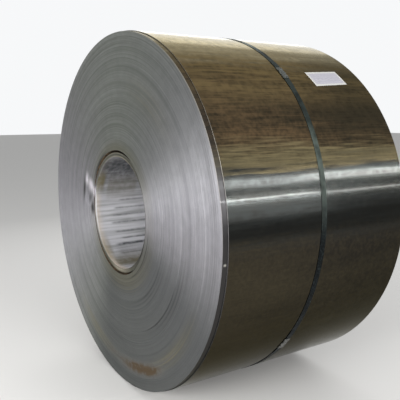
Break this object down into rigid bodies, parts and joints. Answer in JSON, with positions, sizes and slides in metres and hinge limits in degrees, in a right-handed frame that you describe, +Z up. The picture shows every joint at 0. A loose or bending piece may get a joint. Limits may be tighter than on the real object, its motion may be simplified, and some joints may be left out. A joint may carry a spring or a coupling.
{
  "type": "steel coil",
  "caption": "Coil of bright cold-rolled steel strip lying on its side, with loose inner turns, a strap crimped under steel seals and a bare paper label.",
  "frame": {"origin": "on the axis of the bore, halfway along the strip's width", "axes": "+Y along the bore axis from the front end to the back end, +Z up as the coil lies on its side, +X towards the side with the seals and the label"},
  "size_m": [1.5827, 0.9216, 1.5828],
  "materials": {
    "strip_steel": "bright cold-rolled steel, oiled and mirror-like round the outside, silky on the sheared edges",
    "strap_steel": "dark painted steel strap, satin",
    "seal_steel": "galvanised, crimped",
    "label_paper": "matt paper, bare"
  },
  "bodies": {
    "root": {"coil": "strip_steel", "long_strap": "strap_steel", "short_strap": "strap_steel", "lower_seal": "seal_steel", "upper_seal": "seal_steel", "label": "label_paper"}
  },
  "joints": []
}
